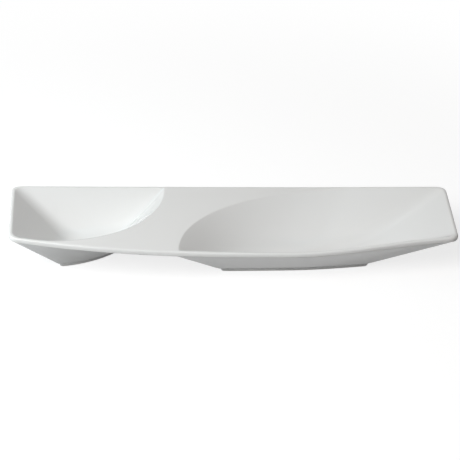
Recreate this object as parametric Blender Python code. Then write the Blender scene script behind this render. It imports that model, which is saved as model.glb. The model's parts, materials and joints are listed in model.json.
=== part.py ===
"""Divided serving plate: a glazed porcelain shell with two wells, standing on two unglazed foot rings.

X runs along the plate, -Y is its front side, and the table is at Z = 0. All sizes are in metres.
"""

import math

import bmesh
import bpy
import numpy as np

# Rim: it is narrow and high at both ends, and widest and lowest at the belly.
LENGTH = 0.360
END_WIDTH = 0.0855
BELLY_WIDTH = 0.1110
END_HEIGHT = 0.0382
BELLY_HEIGHT = 0.0306
BELLY_X = 0.045
LEFT_SWELL = 2.5
RIGHT_SWELL = 0.5
CORNER_RADIUS = 0.008

# Shell: its thickness at the rim, the bridge and the floors. The lip is round outside and eased inside.
WALL = 0.0044
LIP_ROUND = 0.0019
EDGE_ROUND = 0.0009
UNDER_ROUND = 0.0008
HEEL_ROUND = 0.0007

# Small well, at the left: its edge leaves the back rim and runs out along the front rim.
# A reach is measured along the plate from the well's own end, to where the edge meets the rim.
# A fall is the plan distance in which the inside of a wall goes down from the rim to the floor.
# A run is the same for its outside, from the rim to the foot.
SMALL_EDGE_REACH = 0.126
SMALL_TIP_REACH = 0.026
SMALL_END_FALL = 0.046
SMALL_SIDE_FALL = 0.037
SMALL_EDGE_FALL = 0.021
SMALL_TIP_FALL = 0.024
SMALL_END_RUN = 0.0405
SMALL_SIDE_RUN = 0.033
SMALL_EDGE_RUN = 0.017
SMALL_TIP_RUN = 0.021
SMALL_SIDE_SPLAY = 0.0
SMALL_TIP_FLOOR = 0.012
SMALL_END_CORNER = 0.012

# Large well, at the right: its edge leaves the front rim and runs out along the back rim.
LARGE_EDGE_REACH = 0.225
LARGE_TIP_REACH = 0.085
LARGE_END_FALL = 0.0745
LARGE_SIDE_FALL = 0.026
LARGE_EDGE_FALL = 0.021
LARGE_TIP_FALL = 0.054
LARGE_END_RUN = 0.070
LARGE_SIDE_RUN = 0.023
LARGE_EDGE_RUN = 0.027
LARGE_TIP_RUN = 0.044
LARGE_SIDE_SPLAY = 0.0055
LARGE_TIP_FLOOR = 0.016
LARGE_END_CORNER = 0.028

# Floors: the walls sweep into a flat middle. Inside, each corner takes a share of the end wall's foot.
FLAT_SHARE = 0.30
END_SHARE = 0.38
EDGE_CORNER = 0.018
FOOT_CORNER = 0.003

# Foot rings: a ground land on the table, with drafted sides, seated under the floor of each well.
FOOT_HEIGHT = 0.0035
FOOT_SETBACK = 0.0003
FOOT_LAND = 0.004
FOOT_DRAFT = 0.0007
FOOT_ROUND = 0.0006
SEAT_GAP = 0.0003

# Fineness of the mesh: columns on each side of a well (tip, end, side, edge) and steps on each bend.
SIDE_COLUMNS = (6, 8, 12, 24)
BEND_STEPS = 4
SHARP_CUT = 0.007
LIP_STEPS = 4
UNDER_STEPS = 2
WALL_STEPS = 2
FILLET_STEPS = 7
BLEND_POWER = 4
BRIDGE_COLUMNS = 10
CURVE_SAMPLES = 400
WELD = 1e-6
SHARP_ANGLE = math.radians(40)

# Finishes
GLAZE_COLOUR = (0.86, 0.86, 0.85)
GLAZE_ROUGHNESS = 0.12
BISQUE_COLOUR = (0.78, 0.75, 0.70)
BISQUE_ROUGHNESS = 0.70

LIP_TOP = LIP_ROUND + EDGE_ROUND
SKIN_STEP = LIP_TOP - UNDER_ROUND
HALF_LENGTH = LENGTH / 2
FLOOR_TOP = FOOT_HEIGHT + WALL


# Rim lines


def swell(t, start_slope):
    """A rise from 0 to 1 that sets off with the given slope and ends level."""
    return t * t * (3 - 2 * t) + start_slope * t * (1 - t) ** 2


def belly(x):
    """How far the rim has swelled at station x: 0 at the ends, 1 at the belly."""
    from_left = swell((HALF_LENGTH + x) / (HALF_LENGTH + BELLY_X), LEFT_SWELL)
    from_right = swell((HALF_LENGTH - x) / (HALF_LENGTH - BELLY_X), RIGHT_SWELL)
    return np.where(x < BELLY_X, from_left, from_right)


def rim_half_width(x):
    """Half the width of the plate over its outer faces."""
    return (END_WIDTH + (BELLY_WIDTH - END_WIDTH) * belly(x)) / 2


def rim_height(x):
    """Height of the lip's top, which is also the upper face of the bridge."""
    return END_HEIGHT - (END_HEIGHT - BELLY_HEIGHT) * belly(x)


def lift(plan, drop):
    """Plan points raised to a drop below the rim's height."""
    return np.column_stack([plan, rim_height(plan[:, 0]) - drop])


# Plan curves and closed loops


class Path:
    """A plan curve that is read by the distance from its start."""

    def __init__(self, points):
        self.points = np.asarray(points)
        steps = np.linalg.norm(np.diff(self.points, axis=0), axis=1)
        self.distance = np.concatenate([[0.0], np.cumsum(steps)])
        self.length = self.distance[-1]

    def at(self, distance):
        return np.stack([np.interp(distance, self.distance, line) for line in self.points.T], axis=-1)

    def part(self, start, end):
        return Path(self.at(np.linspace(start, end, CURVE_SAMPLES)))


def bezier(start, control, end, t):
    """A parabolic bend from start to end, tangent to both lines through the control point."""
    t = np.asarray(t).reshape((-1,) + (1,) * np.ndim(start))
    return (1 - t) ** 2 * start + 2 * t * (1 - t) * control + t * t * end


def corner(before, after, cuts, is_round):
    """Points of a corner from one cut before it to the other after it, bent round or kept sharp."""
    t = np.linspace(0, 1, 2 * BEND_STEPS + 1)
    if is_round:
        return bezier(before.at(before.length - cuts[0]), after.points[0], after.at(cuts[1]), t)
    arriving = before.at(before.length - cuts[0] * (1 - 2 * t[:BEND_STEPS]))
    leaving = after.at(cuts[1] * (2 * t[BEND_STEPS:] - 1))
    return np.concatenate([arriving, leaving])


def closed_loop(paths, cuts, rounds):
    """The columns of a loop of four paths; each path's own columns start at the middle of a corner."""
    columns = []
    for i, path in enumerate(paths):
        following = paths[(i + 1) % len(paths)]
        columns.append(corner(paths[i - 1], path, cuts[i - 1], rounds[i - 1])[BEND_STEPS:])
        stations = np.linspace(cuts[i - 1][1], path.length - cuts[i][0], SIDE_COLUMNS[i] + 1)
        columns.append(path.at(stations[1:-1]))
        columns.append(corner(path, following, cuts[i], rounds[i])[:BEND_STEPS])
    return np.concatenate(columns)


def loop_tangents(points):
    """Unit tangents of a closed loop of points."""
    return unit(np.roll(points, -1, axis=0) - np.roll(points, 1, axis=0))


def centroid(loop):
    """Middle of the flat area inside a level loop."""
    following = np.roll(loop, -1, axis=0)
    areas = loop[:, 0] * following[:, 1] - following[:, 0] * loop[:, 1]
    middle = (areas[:, None] * (loop + following)).sum(axis=0) / (3 * areas.sum())
    return np.array([middle[0], middle[1], loop[0, 2]])


def unit(vectors):
    return vectors / np.linalg.norm(vectors, axis=-1, keepdims=True)


# Wells


class Well:
    """One well, drawn clockwise in its own plan frame: its end wall at -X, its edge leaving the rim at +Y.

    The large well is the small one's kind turned half round, so turn is 1 or -1. The shell's lower face
    lies one wall lower and SKIN_STEP further out along the edge, and has an outline of its own at the foot.
    """

    def __init__(self, turn, edge_reach, tip_reach, falls, runs, side_splay, tip_floor, end_corner):
        self.turn = turn
        self.edge_x = edge_reach - HALF_LENGTH
        self.tip_x = tip_reach - HALF_LENGTH
        self.falls = falls
        self.runs = runs
        self.side_splay = side_splay
        self.tip_floor = tip_floor
        self.edge_start = sum(SIDE_COLUMNS[:3]) + 6 * BEND_STEPS
        self.lip = lift(self.rim_loop(LIP_ROUND, 0.0), 0.0)
        self.crest = lift(self.rim_loop(LIP_TOP, 0.0), 0.0)
        self.root = lift(self.rim_loop(UNDER_ROUND, SKIN_STEP), WALL)
        self.heel = self.heel_loop(end_corner)
        self.flat = self.heel + (1 - FLAT_SHARE) * (centroid(self.heel) - self.heel)
        self.ground = self.foot_loop(-SKIN_STEP, FOOT_HEIGHT)
        self.seat = self.foot_loop(HEEL_ROUND - SKIN_STEP, FOOT_HEIGHT)

    def half_width(self, x):
        return rim_half_width(x * self.turn)

    def edge_curve(self, outset, back_inset, front_inset, angles):
        """A quarter ellipse from the back rim to the front rim, by angles from the back one."""
        start_x = self.edge_x + outset
        start_y = self.half_width(start_x) - back_inset
        end_y = front_inset - self.half_width(self.tip_x)
        x = self.tip_x + (start_x - self.tip_x) * np.cos(angles)
        return np.column_stack([x, start_y + (end_y - start_y) * np.sin(angles)])

    def rim_loop(self, inset, outset):
        """The well's outline at the rim, drawn in from the outer face and stepped out along the edge."""
        tip = np.linspace(self.tip_x, inset - HALF_LENGTH, CURVE_SAMPLES)
        side = np.linspace(inset - HALF_LENGTH, self.edge_x + outset, CURVE_SAMPLES)
        front = np.column_stack([tip, inset - self.half_width(tip)])
        back = np.column_stack([side, self.half_width(side) - inset])
        edge = self.edge_curve(outset, inset, inset, np.linspace(0, math.pi / 2, CURVE_SAMPLES))
        paths = (Path(front), Path([front[-1], back[0]]), Path(back), Path(edge))
        cuts = ((CORNER_RADIUS,) * 2, (CORNER_RADIUS,) * 2, (SHARP_CUT,) * 2, (SHARP_CUT,) * 2)
        return closed_loop(paths, cuts, (True, True, False, False)) * self.turn

    def floor_paths(self, walls, inset):
        """Sweep, end and side of the outline that walls reach in these plan distances plus an inset."""
        end_in, side_in, edge_in, tip_in = np.add(walls, inset)
        end_x = end_in - HALF_LENGTH
        angles = np.linspace(0, math.pi / 2, CURVE_SAMPLES)
        edge = self.edge_curve(-edge_in, 0.0, tip_in, angles)
        first = np.interp(0.0, self.side_line(edge[:, 0], side_in) - edge[:, 1], angles)
        last = np.interp(-end_x, -edge[:, 0], angles)
        sweep = self.edge_curve(-edge_in, 0.0, tip_in, np.linspace(first, last, CURVE_SAMPLES))
        sweep = Path(np.vstack([sweep, (end_x, sweep[-1, 1])]))
        side_x = np.linspace(end_x, sweep.points[0, 0], CURVE_SAMPLES)
        side = np.column_stack([side_x, self.side_line(side_x, side_in)])
        return sweep, Path([sweep.points[-1], side[0]]), Path(side)

    def floor_loop(self, paths, z, long_cut, end_cut, edge_cut):
        """An outline at a height, its corners cut along the long sides, the end and the edge."""
        sweep, end, side = paths
        split = sweep.length - long_cut - self.tip_floor
        paths = (sweep.part(split, sweep.length), end, side, sweep.part(0.0, split))
        cuts = ((long_cut, end_cut), (end_cut, long_cut), (edge_cut,) * 2, (SHARP_CUT,) * 2)
        plan = closed_loop(paths, cuts, (True, True, True, False)) * self.turn
        return np.column_stack([plan, np.full(len(plan), z)])

    def heel_loop(self, end_corner):
        """The inside outline, whose corners take a share of the end wall's foot."""
        paths = self.floor_paths(self.falls, 0.0)
        return self.floor_loop(paths, FLOOR_TOP, end_corner, END_SHARE * paths[1].length, EDGE_CORNER)

    def foot_loop(self, inset, z):
        """The outside outline, with tight corners."""
        return self.floor_loop(self.floor_paths(self.runs, inset), z, FOOT_CORNER, FOOT_CORNER, FOOT_CORNER)

    def side_line(self, x, side_in):
        """Where the side wall reaches the floor; its distance grows by the splay towards the end wall."""
        share = (self.edge_x - x) / (self.edge_x + HALF_LENGTH)
        return self.half_width(x) - side_in - self.side_splay * share

    def steepness(self):
        """Slope of the wall under each lip column; the two columns shared with the bridge are level."""
        fall = (self.heel - self.crest)[: self.edge_start + 1]
        steep = -fall[:, 2] / np.linalg.norm(fall[:, :2], axis=1)
        steep[[0, -1]] = 0.0
        return steep

    def skins(self):
        """Rings of the well's upper and lower face, from the rim or the bridge down to the floor."""
        on_edge = (np.arange(len(self.crest)) > self.edge_start)[:, None]

        down = unit(self.heel - self.crest)
        over = lift((self.crest - EDGE_ROUND * inward(self.crest))[:, :2], 0.0)
        start = np.where(on_edge, over, self.lip)
        shoulder = self.crest + EDGE_ROUND * down
        fillet_top = self.heel - shorter(self.heel - self.flat, self.heel - shoulder) * down
        upper = list(bezier(start, self.crest, shoulder, (0.0, 0.5)))
        upper += straight(shoulder, fillet_top, WALL_STEPS + 1)
        upper += list(bezier(fillet_top, self.heel, self.flat, np.linspace(0, 1, FILLET_STEPS + 1)))

        down = unit(self.ground - self.root)
        plan = self.root[:, :2] * self.turn
        gap = (plan[:, 1] + self.half_width(plan[:, 0]) - UNDER_ROUND)[:, None]
        ease = EDGE_ROUND * gap / (gap + EDGE_ROUND)
        under = lift((self.root - ease * inward(self.root))[:, :2], WALL)
        start = np.where(on_edge, under, self.root)
        shoulder = self.root + EDGE_ROUND * down
        bend = np.where(on_edge, self.root, (self.root + shoulder) / 2)
        lower = list(bezier(start, bend, shoulder, (0.0, 0.5)))
        lower += straight(shoulder, self.ground - HEEL_ROUND * down, WALL_STEPS + 1)
        lower += list(bezier(self.ground - HEEL_ROUND * down, self.ground, self.seat, (0.0, 0.5, 1.0)))
        return np.array(upper), np.array(lower)


def inward(loop):
    """Level unit vectors that point from a clockwise loop into its well."""
    tangents = loop_tangents(loop * (1, 1, 0))
    return np.column_stack([tangents[:, 1], -tangents[:, 0], np.zeros(len(tangents))])


def shorter(first, second):
    """About the length of the shorter of two vectors, and always less than that of either."""
    lengths = [np.linalg.norm(vectors, axis=1)[:, None] for vectors in (first, second)]
    return (lengths[0] ** -BLEND_POWER + lengths[1] ** -BLEND_POWER) ** (-1 / BLEND_POWER)


def straight(start, end, steps):
    """Rings at equal steps from start towards end, without the last."""
    return [start + (end - start) * (k / steps) for k in range(steps)]


# Bridge and lip


def rim_row(start_x, end_x, side, inset):
    """Plan points between two stations of the front (-1) or back (1) rim, both left out."""
    x = np.linspace(start_x, end_x, BRIDGE_COLUMNS + 1)[1:-1]
    return np.column_stack([x, side * (rim_half_width(x) - inset)])


def lip_profile(steep):
    """Rows of the lip from its top to the lower face: the inset of each, and its drop at every column."""
    t = np.linspace(0, 1, LIP_STEPS + 1)
    rows = [(LIP_ROUND * (1 - k) ** 2, LIP_ROUND * k * k + 0 * steep) for k in t]
    bend = WALL - UNDER_ROUND * steep
    t = np.linspace(0, 1, UNDER_STEPS + 1)
    rows += [(UNDER_ROUND * k * k, bezier(bend - UNDER_ROUND, bend, WALL + 0 * steep, k)[0]) for k in t]
    return rows


def lip_rows(small, large):
    """The lip all round the plate, as rows of points, and the number of columns of each of its four runs."""
    between = np.zeros(BRIDGE_COLUMNS - 1)
    runs = (small.steepness(), between, large.steepness(), between)
    profile = lip_profile(np.concatenate(runs))
    rows = []
    for k, (inset, drop) in enumerate(profile):
        outset = SKIN_STEP * k / (len(profile) - 1)
        back = rim_row(small.edge_x + outset, -large.tip_x, 1, inset)
        front = rim_row(-large.edge_x - outset, small.tip_x, -1, inset)
        left = small.rim_loop(inset, outset)[: small.edge_start + 1]
        right = large.rim_loop(inset, outset)[: large.edge_start + 1]
        rows.append(lift(np.concatenate([left, back, right, front]), drop))
    return np.array(rows), [len(run) for run in runs]


def bridge_face(left, right, back, front, drop):
    """A patch between four border rows, laid on the bridge's upper or lower face."""
    t = np.linspace(0, 1, len(left))[:, None, None]
    s = np.linspace(0, 1, len(back))[None, :, None]
    across = (1 - s) * left[:, None] + s * right[:, None]
    along = (1 - t) * back[None] + t * front[None]
    level = (1 - t) * ((1 - s) * back[0] + s * back[-1]) + t * ((1 - s) * front[0] + s * front[-1])
    patch = across + along - level
    patch[..., 2] = rim_height(patch[..., 0]) - drop
    return patch


# Solids


def add_grid(mesh, rows, closed_columns):
    """Quads over rows of points; returns the vertices row by row."""
    vertices = [[mesh.verts.new(point) for point in row] for row in rows]
    columns = len(vertices[0])
    for upper, lower in zip(vertices, vertices[1:]):
        for i in range(columns if closed_columns else columns - 1):
            j = (i + 1) % columns
            mesh.faces.new((upper[i], upper[j], lower[j], lower[i]))
    return vertices


def finish(name, mesh, material):
    """Welds the patches into one closed solid and makes it a named object."""
    bmesh.ops.remove_doubles(mesh, verts=mesh.verts, dist=WELD)
    bmesh.ops.recalc_face_normals(mesh, faces=mesh.faces)
    data = bpy.data.meshes.new(name)
    mesh.to_mesh(data)
    mesh.free()
    data.shade_smooth()
    data.set_sharp_from_angle(angle=SHARP_ANGLE)
    data.materials.append(material)
    solid = bpy.data.objects.new(name, data)
    bpy.context.scene.collection.objects.link(solid)
    return solid


def finish_material(name, colour, roughness):
    material = bpy.data.materials.new(name)
    material.use_nodes = True
    shader = material.node_tree.nodes["Principled BSDF"]
    shader.inputs["Base Color"].default_value = (*colour, 1.0)
    shader.inputs["Roughness"].default_value = roughness
    shader.inputs["Metallic"].default_value = 0.0
    return material


def make_body(small, large, material):
    """The shell: both wells, the bridge between them and the lip all round."""
    mesh = bmesh.new()
    lip, columns = lip_rows(small, large)
    add_grid(mesh, lip, True)
    edges = []
    for well in (small, large):
        skins = well.skins()
        for rings in skins:
            vertices = add_grid(mesh, rings, True)
            mesh.faces.new(vertices[-1])
        edges.append([np.vstack([rings[0][well.edge_start :], rings[0][:1]]) for rings in skins])
    _, back, _, front = np.split(lip, np.cumsum(columns)[:-1], axis=1)
    for face, drop in ((0, 0.0), (-1, WALL)):
        left = edges[0][face]
        right = edges[1][face][::-1]
        back_row = np.vstack([left[:1], back[face], right[:1]])
        front_row = np.vstack([left[-1:], front[face][::-1], right[-1:]])
        add_grid(mesh, bridge_face(left, right, back_row, front_row, drop), False)
    return finish("plate_body", mesh, material)


def make_foot(name, well, material):
    """A closed ring on the well's floor outline, with drafted sides and eased edges on the table."""
    outside = HEEL_ROUND - SKIN_STEP + FOOT_SETBACK
    land_outside = outside + FOOT_DRAFT
    land_inside = land_outside + FOOT_LAND
    seat = FOOT_HEIGHT - SEAT_GAP
    section = (
        (outside, seat),
        (land_outside, FOOT_ROUND),
        (land_outside + FOOT_ROUND, 0.0),
        (land_inside - FOOT_ROUND, 0.0),
        (land_inside, FOOT_ROUND),
        (land_inside + FOOT_DRAFT, seat),
        (outside, seat),
    )
    mesh = bmesh.new()
    add_grid(mesh, [well.foot_loop(inset, z) for inset, z in section], True)
    return finish(name, mesh, material)


def main():
    for old in list(bpy.data.objects):
        bpy.data.objects.remove(old)
    small = Well(
        1,
        SMALL_EDGE_REACH,
        SMALL_TIP_REACH,
        (SMALL_END_FALL, SMALL_SIDE_FALL, SMALL_EDGE_FALL, SMALL_TIP_FALL),
        (SMALL_END_RUN, SMALL_SIDE_RUN, SMALL_EDGE_RUN, SMALL_TIP_RUN),
        SMALL_SIDE_SPLAY,
        SMALL_TIP_FLOOR,
        SMALL_END_CORNER,
    )
    large = Well(
        -1,
        LARGE_EDGE_REACH,
        LARGE_TIP_REACH,
        (LARGE_END_FALL, LARGE_SIDE_FALL, LARGE_EDGE_FALL, LARGE_TIP_FALL),
        (LARGE_END_RUN, LARGE_SIDE_RUN, LARGE_EDGE_RUN, LARGE_TIP_RUN),
        LARGE_SIDE_SPLAY,
        LARGE_TIP_FLOOR,
        LARGE_END_CORNER,
    )
    glaze = finish_material("white_glaze", GLAZE_COLOUR, GLAZE_ROUGHNESS)
    bisque = finish_material("ground_bisque", BISQUE_COLOUR, BISQUE_ROUGHNESS)
    make_body(small, large, glaze)
    make_foot("small_foot_ring", small, bisque)
    make_foot("large_foot_ring", large, bisque)


main()
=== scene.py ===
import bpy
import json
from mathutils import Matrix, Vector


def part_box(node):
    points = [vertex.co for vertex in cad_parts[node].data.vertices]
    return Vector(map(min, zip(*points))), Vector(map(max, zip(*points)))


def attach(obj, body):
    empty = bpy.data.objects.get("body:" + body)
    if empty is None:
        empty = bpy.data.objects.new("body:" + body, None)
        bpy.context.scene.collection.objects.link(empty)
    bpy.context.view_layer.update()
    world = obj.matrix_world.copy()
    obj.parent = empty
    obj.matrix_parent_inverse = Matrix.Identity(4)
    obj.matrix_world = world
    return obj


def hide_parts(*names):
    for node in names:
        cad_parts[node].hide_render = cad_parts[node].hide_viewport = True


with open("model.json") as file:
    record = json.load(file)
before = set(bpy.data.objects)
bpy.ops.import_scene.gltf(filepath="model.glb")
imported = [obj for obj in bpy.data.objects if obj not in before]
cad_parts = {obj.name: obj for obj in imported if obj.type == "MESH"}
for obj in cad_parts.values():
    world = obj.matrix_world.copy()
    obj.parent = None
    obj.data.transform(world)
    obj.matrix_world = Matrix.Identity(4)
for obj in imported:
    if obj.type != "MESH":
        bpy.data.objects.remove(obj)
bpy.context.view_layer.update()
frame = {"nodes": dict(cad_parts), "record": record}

import json
import math
from typing import NamedTuple

import bpy
import numpy as np
from mathutils import Matrix, Vector

bl_info = {
    "name": "Divided Serving Plate",
    "version": (1, 0, 0),
    "blender": (4, 5, 0),
    "location": "View3D > Sidebar > Plate",
    "description": "Glazes the packed plate and its foot rings and sets them on a studio table",
    "category": "Object",
}

BODY = "root"
SHELL_NODE = "plate_body"
FOOT_NODES = ("small_foot_ring", "large_foot_ring")
SLOTS = {part["node"]: part["material_slot"] for part in frame["record"]["subparts"]}
FINISHES = {finish["slot"]: tuple(finish["base_color"]) for finish in frame["record"]["materials"]}

# Width of the photograph in pixels, and of the camera's sensor in millimetres
PHOTO_WIDTH = 460
SENSOR_WIDTH = 36.0

# Limits for merging points and telling level faces: metres, digits of a height, parts of a normal
MERGE_DISTANCE = 1e-6
HEIGHT_DIGITS = 5
HEIGHT_STEP = 1e-5
LEVEL_NORMAL = 0.9999
UPWARD_NORMAL = 0.9

# A floor has more level faces than this, and its middle face has this share of its size
FLOOR_FACES = 20
FLOOR_SHRINK = 0.5

# How triangles are paired into quads
QUAD_FACE_ANGLE = math.radians(60.0)
QUAD_SHAPE_ANGLE = math.radians(120.0)
QUAD_ROWS = 1.6

# How the wells are evened out and the edges of the rings are eased
SETTLING_STEP = 0.5
EASING_SEGMENTS = 2
EASED_ANGLE = math.radians(30.0)
SHARP_ANGLE = math.radians(35.0)

# Bends, as one over a radius in metres, at which the glaze is thinned or pooled most
LIP_BEND = 500.0
WELL_BEND = 60.0
RING_BEND = 4000.0

# Times that a bend is averaged with its neighbours, and the least square of an edge's length
BEND_PASSES = 3
SHORTEST_SQUARE = 1e-12

# The glaze: its shares, the finer ripples against the soft ones, and what makes it rougher
GLAZE_IOR = 1.52
THINNED_SHARE = 0.45
POOLED_SHARE = 0.35
CLOUDED_SHARE = 0.4
SPECK_LEVELS = (0.80, 0.86)
SPECK_SHARE = 0.35
PEEL_SPACING = 0.22
PEEL_HEIGHT = 0.16
CLOUD_ROUGHNESS = 0.05
PEEL_ROUGHNESS = 0.03
CROWN_ROUGHNESS = 0.04

# The ground faces of the rings: shares of stain and grain, roughness, and relief
STAIN_LEVELS = (0.45, 0.75)
STAIN_SHARE = 0.5
GRAIN_LEVELS = (0.55, 0.8)
GRAIN_SHARE = 0.35
GROUND_ROUGHNESS = 0.62
GRAIN_ROUGHNESS = 0.25
GRAIN_RELIEF = 0.7
SCRATCH_RELIEF = 0.3
SCRATCH_SCALE = (1.0, 14.0, 1.0)

# Middle of a noise, or of a relief, that runs from 0 to 1
MIDDLE = 0.5

# Sockets of a Mix node when it mixes colours
MIX_SHARE = 0
MIX_FIRST = 6
MIX_SECOND = 7


# Sizes and colours that a user may change


class GlazeSettings(bpy.types.PropertyGroup):
    """The glossy white glaze on the shell and on the sides of the foot rings."""

    colour: bpy.props.FloatVectorProperty(
        name="Colour",
        description="Glaze at its usual thickness",
        subtype="COLOR",
        size=3,
        min=0.0,
        max=1.0,
        default=FINISHES[SLOTS[SHELL_NODE]],
    )
    thin_colour: bpy.props.FloatVectorProperty(
        name="Thin Colour",
        description="Glaze that has run off a lip or an edge and lets the body show",
        subtype="COLOR",
        size=3,
        min=0.0,
        max=1.0,
        default=(0.84, 0.82, 0.79),
    )
    pooled_colour: bpy.props.FloatVectorProperty(
        name="Pooled Colour",
        description="Thick glaze in the hollows of the wells",
        subtype="COLOR",
        size=3,
        min=0.0,
        max=1.0,
        default=(0.82, 0.865, 0.875),
    )
    cloud: bpy.props.FloatProperty(
        name="Cloud Spacing",
        description="Distance between the places where the glaze is a little thicker",
        subtype="DISTANCE",
        unit="LENGTH",
        min=0.001,
        default=0.045,
    )
    speck: bpy.props.FloatProperty(
        name="Speck Spacing",
        description="Size of the pattern that the faint specks are taken from",
        subtype="DISTANCE",
        unit="LENGTH",
        min=0.0001,
        default=0.0016,
    )
    speck_colour: bpy.props.FloatVectorProperty(
        name="Speck Colour",
        description="Faint specks in the glaze",
        subtype="COLOR",
        size=3,
        min=0.0,
        max=1.0,
        default=(0.62, 0.60, 0.56),
    )
    roughness: bpy.props.FloatProperty(
        name="Roughness",
        description="Roughness of the fired gloss",
        subtype="FACTOR",
        min=0.0,
        max=1.0,
        default=0.09,
    )
    ripple: bpy.props.FloatProperty(
        name="Ripple Spacing",
        description="Distance between the soft ripples of the glaze",
        subtype="DISTANCE",
        unit="LENGTH",
        min=0.001,
        default=0.011,
    )
    ripple_height: bpy.props.FloatProperty(
        name="Ripple Height",
        description="Height of the soft ripples of the glaze",
        subtype="DISTANCE",
        unit="LENGTH",
        min=0.0,
        default=0.00002,
    )
    smoothing: bpy.props.IntProperty(
        name="Smoothing",
        description="Subdivision levels of the shell",
        min=0,
        max=2,
        default=2,
    )
    settling: bpy.props.IntProperty(
        name="Settling",
        description="Times that the surface inside the wells is evened out",
        min=0,
        max=80,
        default=40,
    )
    settle_top: bpy.props.FloatProperty(
        name="Settle Top",
        description="Height at which the wells start to be evened out",
        subtype="DISTANCE",
        unit="LENGTH",
        min=0.0,
        default=0.0305,
    )
    settle_full: bpy.props.FloatProperty(
        name="Settle Full",
        description="Height below which the wells are evened out fully",
        subtype="DISTANCE",
        unit="LENGTH",
        min=0.0,
        default=0.0180,
    )


class FootSettings(bpy.types.PropertyGroup):
    """The ground standing faces of the foot rings."""

    colour: bpy.props.FloatVectorProperty(
        name="Ground Colour",
        description="Unglazed body where the ring was ground",
        subtype="COLOR",
        size=3,
        min=0.0,
        max=1.0,
        default=FINISHES[SLOTS[FOOT_NODES[0]]],
    )
    stain: bpy.props.FloatProperty(
        name="Stain Spacing",
        description="Distance between the stains on the ground faces",
        subtype="DISTANCE",
        unit="LENGTH",
        min=0.001,
        default=0.012,
    )
    stain_colour: bpy.props.FloatVectorProperty(
        name="Stain Colour",
        description="Stains on the ground faces",
        subtype="COLOR",
        size=3,
        min=0.0,
        max=1.0,
        default=(0.66, 0.62, 0.56),
    )
    grain: bpy.props.FloatProperty(
        name="Grain Spacing",
        description="Distance between the grains of the unglazed body",
        subtype="DISTANCE",
        unit="LENGTH",
        min=0.0001,
        default=0.0004,
    )
    grain_colour: bpy.props.FloatVectorProperty(
        name="Grain Colour",
        description="Darker grains of the unglazed body",
        subtype="COLOR",
        size=3,
        min=0.0,
        max=1.0,
        default=(0.50, 0.47, 0.43),
    )
    grain_height: bpy.props.FloatProperty(
        name="Grain Height",
        description="Height of the grains and depth of the grinding scratches",
        subtype="DISTANCE",
        unit="LENGTH",
        min=0.0,
        default=0.00005,
    )
    scratch: bpy.props.FloatProperty(
        name="Scratch Length",
        description="Length of the grinding scratches",
        subtype="DISTANCE",
        unit="LENGTH",
        min=0.001,
        default=0.004,
    )
    glaze_line: bpy.props.FloatProperty(
        name="Glaze Line",
        description="Height above the table at which the glaze ends",
        subtype="DISTANCE",
        unit="LENGTH",
        min=0.0,
        default=0.0008,
    )
    line_softness: bpy.props.FloatProperty(
        name="Line Softness",
        description="Height above and below its line over which the glaze ends",
        subtype="DISTANCE",
        unit="LENGTH",
        min=0.00001,
        default=0.0001,
    )
    wander: bpy.props.FloatProperty(
        name="Wander Spacing",
        description="Distance between the swings of the glaze's line",
        subtype="DISTANCE",
        unit="LENGTH",
        min=0.001,
        default=0.006,
    )
    wander_height: bpy.props.FloatProperty(
        name="Wander Height",
        description="How far the glaze's line swings up and down",
        subtype="DISTANCE",
        unit="LENGTH",
        min=0.0,
        default=0.0005,
    )
    easing: bpy.props.FloatProperty(
        name="Easing",
        description="Width of the bevel on the edges of a ring",
        subtype="DISTANCE",
        unit="LENGTH",
        min=0.00005,
        default=0.00025,
    )
    rise: bpy.props.FloatProperty(
        name="Rise",
        description="How far the top of a ring is drawn up to meet the shell",
        subtype="DISTANCE",
        unit="LENGTH",
        min=0.0,
        default=0.00026,
    )


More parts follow.
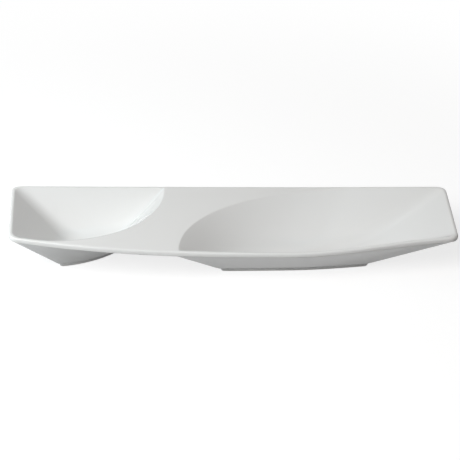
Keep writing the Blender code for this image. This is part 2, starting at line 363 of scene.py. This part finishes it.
class StageSettings(bpy.types.PropertyGroup):
    """The table, the even light and the camera."""

    floor_size: bpy.props.FloatProperty(
        name="Table Size",
        description="Side of the pale table top",
        subtype="DISTANCE",
        unit="LENGTH",
        default=40.0,
    )
    floor_colour: bpy.props.FloatVectorProperty(
        name="Table Colour",
        description="Colour of the table top",
        subtype="COLOR",
        size=3,
        min=0.0,
        max=1.0,
        default=(0.35, 0.35, 0.35),
    )
    floor_glow: bpy.props.FloatProperty(
        name="Table Glow",
        description="How far the table under the plate is lifted towards white where it is seen",
        subtype="FACTOR",
        min=0.0,
        max=1.0,
        default=0.78,
    )
    white_start: bpy.props.FloatProperty(
        name="White Start",
        description="Distance from the plate's middle at which the table starts to fade to white",
        subtype="DISTANCE",
        unit="LENGTH",
        min=0.0,
        default=0.22,
    )
    white_end: bpy.props.FloatProperty(
        name="White End",
        description="Distance from the plate's middle beyond which the table is white",
        subtype="DISTANCE",
        unit="LENGTH",
        min=0.0,
        default=0.55,
    )
    ambient: bpy.props.FloatProperty(
        name="Ambient Light",
        description="Strength of the even light from all round",
        subtype="FACTOR",
        min=0.0,
        max=1.0,
        default=0.03,
    )
    backdrop: bpy.props.FloatProperty(
        name="Backdrop",
        description="Strength of the pale backdrop where it is seen or mirrored",
        subtype="FACTOR",
        min=0.0,
        max=1.0,
        default=1.0,
    )
    elevation: bpy.props.FloatProperty(
        name="Camera Elevation",
        description="Angle at which the camera looks down",
        subtype="ANGLE",
        unit="ROTATION",
        default=math.radians(30.0),
    )
    swing: bpy.props.FloatProperty(
        name="Camera Swing",
        description="Angle of the camera round the plate from its front",
        subtype="ANGLE",
        unit="ROTATION",
        default=math.radians(-3.82),
    )
    roll: bpy.props.FloatProperty(
        name="Camera Roll",
        description="Tilt of the camera about its line of sight",
        subtype="ANGLE",
        unit="ROTATION",
        default=math.radians(1.93),
    )
    distance: bpy.props.FloatProperty(
        name="Camera Distance",
        description="Distance of the camera from the plate",
        subtype="DISTANCE",
        unit="LENGTH",
        default=1.831,
    )
    aim_height: bpy.props.FloatProperty(
        name="Aim Height",
        description="Height of the point above the table that the camera is aimed at",
        subtype="DISTANCE",
        unit="LENGTH",
        default=0.020,
    )
    focal: bpy.props.FloatProperty(
        name="Focal Length",
        description="Focal length in pixels of the photograph",
        subtype="PIXEL",
        default=2243.0,
    )
    shift_right: bpy.props.FloatProperty(
        name="Shift Right",
        description="Shift of the lens to the right, in pixels of the photograph",
        subtype="PIXEL",
        default=-1.76,
    )
    shift_up: bpy.props.FloatProperty(
        name="Shift Up",
        description="Upward shift of the lens, in pixels of the photograph",
        subtype="PIXEL",
        default=0.55,
    )


# Lamps and their colours


class Softbox(NamedTuple):
    """A round soft lamp that faces the plate: angles in degrees, lengths in metres, power in watts."""

    name: str
    azimuth: float
    elevation: float
    distance: float
    size: float
    power: float
    colour: tuple


WHITE = (1.0, 1.0, 1.0)
CREAM = (1.0, 0.96, 0.935)
AMBER = (1.0, 0.90, 0.82)
ICE = (0.84, 0.955, 1.0)
SOFTBOXES = (
    Softbox("key_softbox", azimuth=235.0, elevation=45.0, distance=1.9, size=1.2, power=22.8, colour=CREAM),
    Softbox("back_softbox", azimuth=90.0, elevation=45.0, distance=1.9, size=1.2, power=1.6, colour=AMBER),
    Softbox("left_softbox", azimuth=190.0, elevation=35.0, distance=0.8, size=0.8, power=2.85, colour=ICE),
    Softbox("low_softbox", azimuth=215.0, elevation=20.0, distance=0.8, size=0.6, power=0.9, colour=ICE),
)


# Shader maths


class Field:
    """A socket of a node tree. Arithmetic on it adds Math nodes."""

    def __init__(self, tree, socket=None):
        self.tree = tree
        self.socket = socket

    def node(self, kind, settings, sockets):
        """Adds a node with its settings and its sockets' values or links; returns its outputs by name."""
        made = self.tree.nodes.new(kind)
        for name, value in settings.items():
            setattr(made, name, value)
        for key, value in sockets.items():
            if isinstance(value, Field):
                self.tree.links.new(value.socket, made.inputs[key])
            else:
                made.inputs[key].default_value = value
        return {out.name: Field(self.tree, out) for out in made.outputs if not out.is_unavailable}

    def math(self, operation, *values):
        """One Math node on numbers or fields."""
        return self.node("ShaderNodeMath", {"operation": operation}, dict(enumerate(values)))["Value"]

    def __add__(self, other):
        return self.math("ADD", self, other)

    __radd__ = __add__

    def __sub__(self, other):
        return self.math("SUBTRACT", self, other)

    def __rsub__(self, other):
        return self.math("SUBTRACT", other, self)

    def __mul__(self, other):
        return self.math("MULTIPLY", self, other)

    __rmul__ = __mul__

    def between(self, low, high):
        """A smooth step from 0 at low to 1 at high."""
        settings = {"interpolation_type": "SMOOTHSTEP"}
        sockets = {"Value": self, "From Min": low, "From Max": high}
        return self.node("ShaderNodeMapRange", settings, sockets)["Result"]


def mixed(root, share, first, second):
    """A colour between two others."""
    sockets = {MIX_SHARE: share, MIX_FIRST: first, MIX_SECOND: second}
    return root.node("ShaderNodeMix", {"data_type": "RGBA"}, sockets)["Result"]


def noise(root, place, spacing, detail):
    """Soft noise with about one swing in each spacing."""
    sockets = {"Vector": place, "Scale": 1.0 / spacing, "Detail": detail}
    return root.node("ShaderNodeTexNoise", {}, sockets)["Fac"]


def raised(root, height, distance):
    """A surface normal from a height field."""
    return root.node("ShaderNodeBump", {}, {"Height": height, "Distance": distance})["Normal"]


def stored(root, name):
    """An attribute of the piece's mesh."""
    return root.node("ShaderNodeAttribute", {"attribute_name": name}, {})["Fac"]


def object_place(root):
    """The place on the piece, in metres."""
    return root.node("ShaderNodeTexCoord", {}, {})["Object"]


def background_rays(root):
    """One for a ray that shows the background in the picture or in a gloss, and zero for one that lights."""
    rays = root.node("ShaderNodeLightPath", {}, {})
    seen = rays["Is Camera Ray"] + rays["Is Glossy Ray"] + rays["Is Transmission Ray"]
    return root.math("MINIMUM", seen, 1.0)


def opaque(colour):
    """A colour with full alpha."""
    return (*colour, 1.0)


def new_tree(name):
    """An empty material and the start of its node tree."""
    material = bpy.data.materials.new(name)
    material.use_nodes = True
    material.node_tree.nodes.clear()
    return material, Field(material.node_tree)


def glossy_surface(root, colour, roughness, normal):
    """Ends a material's tree in one Principled shader."""
    sockets = {"Base Color": colour, "Roughness": roughness, "Normal": normal, "IOR": GLAZE_IOR}
    shader = root.node("ShaderNodeBsdfPrincipled", {}, sockets)["BSDF"]
    root.node("ShaderNodeOutputMaterial", {}, {"Surface": shader})


# Materials


def glaze_layers(root, place, settings):
    """Colour, roughness and normal of the glaze."""
    cloud = noise(root, place, settings.cloud, detail=3.0)
    crown = stored(root, "crown")
    pooled = stored(root, "hollow") * (POOLED_SHARE + CLOUDED_SHARE * cloud)
    thinned = crown * (THINNED_SHARE + CLOUDED_SHARE * cloud)
    speck = noise(root, place, settings.speck, detail=1.0).between(*SPECK_LEVELS)
    colour = mixed(root, pooled, opaque(settings.colour), opaque(settings.pooled_colour))
    colour = mixed(root, thinned, colour, opaque(settings.thin_colour))
    colour = mixed(root, speck * SPECK_SHARE, colour, opaque(settings.speck_colour))
    ripple = noise(root, place, settings.ripple, detail=2.0)
    peel = noise(root, place, settings.ripple * PEEL_SPACING, detail=2.0)
    uneven = CLOUD_ROUGHNESS * (cloud - MIDDLE) + PEEL_ROUGHNESS * (peel - MIDDLE)
    roughness = settings.roughness + uneven + CROWN_ROUGHNESS * crown
    normal = raised(root, ripple + PEEL_HEIGHT * peel, settings.ripple_height)
    return colour, roughness, normal


def white_glaze(settings):
    """Fired gloss that thins on the edges, pools in the wells and ripples a little."""
    material, root = new_tree("white_glaze")
    glossy_surface(root, *glaze_layers(root, object_place(root), settings))
    return material


def ground_foot(glaze, foot):
    """Glazed sides that end in a wandering line above a ground, grainy standing face."""
    material, root = new_tree("ground_bisque")
    place = object_place(root)
    height = root.node("ShaderNodeSeparateXYZ", {}, {"Vector": place})["Z"]
    wander = (noise(root, place, foot.wander, detail=2.0) - MIDDLE) * foot.wander_height
    line_bottom = foot.glaze_line - foot.line_softness
    line_top = foot.glaze_line + foot.line_softness
    glazed = (height + wander).between(line_bottom, line_top)
    ground = 1.0 - glazed
    glaze_colour, glaze_roughness, _ = glaze_layers(root, place, glaze)
    stain = noise(root, place, foot.stain, detail=3.0)
    grain = noise(root, place, foot.grain, detail=3.0)
    stretched = root.node("ShaderNodeMapping", {}, {"Vector": place, "Scale": SCRATCH_SCALE})["Vector"]
    scratch = noise(root, stretched, foot.scratch, detail=3.0)
    stained = stain.between(*STAIN_LEVELS) * STAIN_SHARE
    grainy = grain.between(*GRAIN_LEVELS) * GRAIN_SHARE
    body = mixed(root, stained, opaque(foot.colour), opaque(foot.stain_colour))
    body = mixed(root, grainy, body, opaque(foot.grain_colour))
    colour = mixed(root, glazed, body, glaze_colour)
    roughness = glazed * glaze_roughness + ground * (GROUND_ROUGHNESS + GRAIN_ROUGHNESS * grain)
    relief = ground * (GRAIN_RELIEF * grain + SCRATCH_RELIEF * scratch) + glazed * MIDDLE
    glossy_surface(root, colour, roughness, raised(root, relief, foot.grain_height))
    return material


# Modelling helpers


def only(piece):
    """Makes a piece the one selected and active object."""
    bpy.ops.object.select_all(action="DESELECT")
    piece.select_set(True)
    bpy.context.view_layer.objects.active = piece


def copy_of_node(name):
    """A new piece with a copy of a CAD node's mesh, whose points are merged."""
    piece = bpy.data.objects.new("glazed_" + name, frame["nodes"][name].data.copy())
    bpy.context.scene.collection.objects.link(piece)
    only(piece)
    bpy.ops.mesh.customdata_custom_splitnormals_clear()
    bpy.ops.object.mode_set(mode="EDIT")
    bpy.ops.mesh.select_all(action="SELECT")
    bpy.ops.mesh.remove_doubles(threshold=MERGE_DISTANCE)
    bpy.ops.object.mode_set(mode="OBJECT")
    piece.data.materials.clear()
    return piece


def select_faces(piece, test):
    """Selects the faces whose middle and normal pass a test, and opens the piece in edit mode."""
    bpy.ops.object.mode_set(mode="EDIT")
    bpy.ops.mesh.select_mode(type="FACE")
    bpy.ops.mesh.select_all(action="DESELECT")
    bpy.ops.object.mode_set(mode="OBJECT")
    count = 0
    for face in piece.data.polygons:
        face.select = test(face.center, face.normal)
        count += face.select
    if not count:
        raise RuntimeError("no face of " + piece.name + " passes the test")
    bpy.ops.object.mode_set(mode="EDIT")


def quads(piece):
    """Joins pairs of the piece's triangles, keeping to regular rows."""
    only(piece)
    bpy.ops.object.mode_set(mode="EDIT")
    bpy.ops.mesh.select_all(action="SELECT")
    bpy.ops.mesh.tris_convert_to_quads(
        face_threshold=QUAD_FACE_ANGLE, shape_threshold=QUAD_SHAPE_ANGLE, topology_influence=QUAD_ROWS
    )
    bpy.ops.object.mode_set(mode="OBJECT")


def apply_modifier(piece, kind, settings):
    """Adds a modifier with its settings and applies it."""
    only(piece)
    modifier = piece.modifiers.new(kind.title(), kind)
    for name, value in settings.items():
        setattr(modifier, name, value)
    bpy.ops.object.modifier_apply(modifier=modifier.name)


def must_be_closed(piece):
    """Stops if an edge of the piece isn't shared by two faces."""
    uses = np.zeros(len(piece.data.edges), int)
    sides = np.zeros(len(piece.data.loops), int)
    piece.data.loops.foreach_get("edge_index", sides)
    np.add.at(uses, sides, 1)
    if (uses != 2).any():
        raise RuntimeError(piece.name + " has %d open edges" % (uses != 2).sum())


def mark_bends(piece, crown_bend, hollow_bend):
    """Stores how far each point bends outwards (crown) or inwards (hollow), for the glaze."""
    data = piece.data
    points = np.zeros(len(data.vertices) * 3)
    normals = np.zeros(len(data.vertices) * 3)
    ends = np.zeros(len(data.edges) * 2, int)
    data.vertices.foreach_get("co", points)
    data.vertices.foreach_get("normal", normals)
    data.edges.foreach_get("vertices", ends)
    points = points.reshape(-1, 3)
    normals = normals.reshape(-1, 3)
    first, second = ends.reshape(-1, 2).T
    step = points[first] - points[second]
    length = np.sqrt(np.maximum((step * step).sum(axis=1), SHORTEST_SQUARE))
    rise = np.zeros(len(points))
    run = np.zeros(len(points))
    for here, sign in ((first, 1.0), (second, -1.0)):
        np.add.at(rise, here, sign * (normals[here] * step).sum(axis=1) / length)
        np.add.at(run, here, length)
    bend = 2.0 * rise / run
    for _ in range(BEND_PASSES):
        total = np.zeros(len(points))
        count = np.zeros(len(points))
        for here, there in ((first, second), (second, first)):
            np.add.at(total, here, bend[there])
            np.add.at(count, here, 1.0)
        bend = (bend + total / count) / 2.0
    for name, values in (("crown", bend / crown_bend), ("hollow", -bend / hollow_bend)):
        layer = data.attributes.new(name, "FLOAT", "POINT")
        layer.data.foreach_set("value", np.clip(values, 0.0, 1.0).astype(np.float32))


def hand_over(piece, node, material):
    """Puts a finished piece in place of its CAD node."""
    piece.data.materials.append(material)
    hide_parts(node)
    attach(piece, BODY)


# Operators


class DISH_OT_shell(bpy.types.Operator):
    """Smooth the plate's shell and glaze it"""

    bl_idname = "dish.shell"
    bl_label = "Glazed Shell"

    def execute(self, context):
        settings = context.scene.dish_glaze
        piece = copy_of_node(SHELL_NODE)
        for on_floor in self.floor_tests(piece):
            select_faces(piece, on_floor)
            bpy.ops.mesh.dissolve_faces()
            bpy.ops.mesh.extrude_region()
            bpy.ops.transform.resize(value=(FLOOR_SHRINK, FLOOR_SHRINK, 1.0))
            bpy.ops.object.mode_set(mode="OBJECT")
        quads(piece)
        levels = settings.smoothing
        apply_modifier(piece, "SUBSURF", {"levels": levels, "render_levels": levels})
        wells = self.well_group(piece, settings)
        settle = {"factor": SETTLING_STEP, "iterations": settings.settling, "vertex_group": wells}
        apply_modifier(piece, "SMOOTH", settle)
        piece.vertex_groups.clear()
        bpy.ops.object.shade_smooth()
        must_be_closed(piece)
        mark_bends(piece, LIP_BEND, WELL_BEND)
        hand_over(piece, SHELL_NODE, white_glaze(settings))
        return {"FINISHED"}

    def floor_tests(self, piece):
        """A test of a face for each level floor: inside and under each of the two wells."""
        flat = [face for face in piece.data.polygons if abs(face.normal.z) > LEVEL_NORMAL]
        heights = [round(face.center.z, HEIGHT_DIGITS) for face in flat]
        levels = sorted(height for height in set(heights) if heights.count(height) > FLOOR_FACES)
        small, large = (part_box(node) for node in FOOT_NODES)
        bridge = (small[1].x + large[0].x) / 2.0
        return [self.floor_test(level, bridge, side) for level in levels for side in (-1, 1)]

    def floor_test(self, level, bridge, side):
        """A test for the level faces at one height, on one side of the bridge."""

        def on_floor(middle, normal):
            at_level = abs(normal.z) > LEVEL_NORMAL and abs(middle.z - level) < HEIGHT_STEP
            return at_level and (middle.x - bridge) * side > 0.0

        return on_floor

    def well_group(self, piece, settings):
        """A vertex group of the wells' insides, whose weight grows smoothly with their depth."""
        group = piece.vertex_groups.new(name="wells")
        full_depth = settings.settle_top - settings.settle_full
        for point in piece.data.vertices:
            depth = min((settings.settle_top - point.co.z) / full_depth, 1.0)
            if depth > 0.0 and point.normal.z > 0.0:
                group.add([point.index], depth * depth * (3.0 - 2.0 * depth), "REPLACE")
        return group.name


class DISH_OT_foot_rings(bpy.types.Operator):
    """Ease the edges of the foot rings, draw them up to the shell and finish them"""

    bl_idname = "dish.foot_rings"
    bl_label = "Foot Rings"

    def execute(self, context):
        foot = context.scene.dish_foot
        material = ground_foot(context.scene.dish_glaze, foot)
        bevel = {
            "width": foot.easing,
            "segments": EASING_SEGMENTS,
            "limit_method": "ANGLE",
            "angle_limit": EASED_ANGLE,
        }
        for node in FOOT_NODES:
            piece = copy_of_node(node)
            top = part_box(node)[1].z - HEIGHT_STEP
            select_faces(piece, lambda middle, normal: middle.z > top and normal.z > UPWARD_NORMAL)
            bpy.ops.transform.translate(value=(0.0, 0.0, foot.rise))
            bpy.ops.object.mode_set(mode="OBJECT")
            quads(piece)
            apply_modifier(piece, "BEVEL", bevel)
            bpy.ops.object.shade_smooth_by_angle(angle=SHARP_ANGLE)
            must_be_closed(piece)
            mark_bends(piece, RING_BEND, RING_BEND)
            hand_over(piece, node, material)
        return {"FINISHED"}


class DISH_OT_stage(bpy.types.Operator):
    """Set the table, the soft lamps, the backdrop and the camera"""

    bl_idname = "dish.stage"
    bl_label = "Studio Stage"

    def execute(self, context):
        settings = context.scene.dish_stage
        self.table(settings)
        for softbox in SOFTBOXES:
            self.lamp(context, softbox)
        self.world(context, settings)
        self.camera(context, settings)
        context.scene.view_settings.view_transform = "Standard"
        return {"FINISHED"}

    def table(self, settings):
        """A pale table that keeps the plate's shadow and fades to white further away."""
        bpy.ops.object.select_all(action="DESELECT")
        bpy.ops.mesh.primitive_plane_add(size=settings.floor_size, location=(0.0, 0.0, 0.0))
        table = bpy.context.object
        table.name = "table_top"
        material, root = new_tree("pale_table")
        seen = background_rays(root)
        away = root.node("ShaderNodeVectorMath", {"operation": "LENGTH"}, {0: object_place(root)})["Value"]
        far = away.between(settings.white_start, settings.white_end)
        matte = root.node("ShaderNodeBsdfDiffuse", {}, {"Color": opaque(settings.floor_colour)})["BSDF"]
        glow = root.node("ShaderNodeEmission", {}, {"Strength": seen * settings.floor_glow})["Emission"]
        near = root.node("ShaderNodeAddShader", {}, {0: matte, 1: glow})["Shader"]
        white = root.node("ShaderNodeEmission", {}, {"Strength": 1.0})["Emission"]
        both = root.node("ShaderNodeMixShader", {}, {0: seen * far, 1: near, 2: white})["Shader"]
        root.node("ShaderNodeOutputMaterial", {}, {"Surface": both})
        table.data.materials.append(material)

    def lamp(self, context, softbox):
        """A lamp in its place, turned to the plate."""
        light = bpy.data.lights.new(softbox.name, "AREA")
        light.shape = "DISK"
        light.size = softbox.size
        light.energy = softbox.power
        light.color = softbox.colour
        lamp = bpy.data.objects.new(softbox.name, light)
        context.scene.collection.objects.link(lamp)
        turn = math.radians(softbox.azimuth)
        climb = math.radians(softbox.elevation)
        level = math.cos(climb)
        aim = Vector((math.cos(turn) * level, math.sin(turn) * level, math.sin(climb)))
        lamp.location = aim * softbox.distance
        lamp.rotation_euler = aim.to_track_quat("Z", "Y").to_euler()

    def world(self, context, settings):
        """A weak even light, with a white backdrop where it is seen or mirrored."""
        world = bpy.data.worlds.new("studio")
        context.scene.world = world
        world.use_nodes = True
        world.node_tree.nodes.clear()
        root = Field(world.node_tree)
        strength = settings.ambient + (settings.backdrop - settings.ambient) * background_rays(root)
        sockets = {"Color": opaque(WHITE), "Strength": strength}
        even = root.node("ShaderNodeBackground", {}, sockets)["Background"]
        root.node("ShaderNodeOutputWorld", {}, {"Surface": even})

    def camera(self, context, settings):
        """The camera at the photograph's angle."""
        swing = settings.swing
        roll = settings.roll
        level = math.cos(settings.elevation)
        back = Vector((math.sin(swing) * level, -math.cos(swing) * level, math.sin(settings.elevation)))
        right = Vector((math.cos(swing), math.sin(swing), 0.0))
        up = back.cross(right)
        rolled_right = right * math.cos(roll) + up * math.sin(roll)
        rolled_up = up * math.cos(roll) - right * math.sin(roll)
        lens = bpy.data.cameras.new("camera")
        lens.sensor_width = SENSOR_WIDTH
        lens.lens = settings.focal / PHOTO_WIDTH * SENSOR_WIDTH
        lens.shift_x = settings.shift_right / PHOTO_WIDTH
        lens.shift_y = settings.shift_up / PHOTO_WIDTH
        camera = bpy.data.objects.new("camera", lens)
        context.scene.collection.objects.link(camera)
        view = Matrix((rolled_right, rolled_up, back)).transposed().to_4x4()
        view.translation = Vector((0.0, 0.0, settings.aim_height)) + back * settings.distance
        camera.matrix_world = view
        context.scene.camera = camera


class DISH_PT_plate(bpy.types.Panel):
    """The steps that dress the plate"""

    bl_label = "Divided Serving Plate"
    bl_idname = "DISH_PT_plate"
    bl_space_type = "VIEW_3D"
    bl_region_type = "UI"
    bl_category = "Plate"

    def draw(self, context):
        for operator, group in STEPS:
            box = self.layout.box()
            box.operator(operator)
            settings = getattr(context.scene, group)
            for name in settings.__annotations__:
                box.prop(settings, name)


STEPS = (("dish.shell", "dish_glaze"), ("dish.foot_rings", "dish_foot"), ("dish.stage", "dish_stage"))
GROUPS = {"dish_glaze": GlazeSettings, "dish_foot": FootSettings, "dish_stage": StageSettings}
CLASSES = (*GROUPS.values(), DISH_OT_shell, DISH_OT_foot_rings, DISH_OT_stage, DISH_PT_plate)


def register():
    for kind in CLASSES:
        bpy.utils.register_class(kind)
    for name, kind in GROUPS.items():
        setattr(bpy.types.Scene, name, bpy.props.PointerProperty(type=kind))


def unregister():
    for name in GROUPS:
        delattr(bpy.types.Scene, name)
    for kind in reversed(CLASSES):
        bpy.utils.unregister_class(kind)


def main():
    register()
    bpy.ops.dish.shell()
    bpy.ops.dish.foot_rings()
    bpy.ops.dish.stage()


if __name__ == "__main__":
    main()
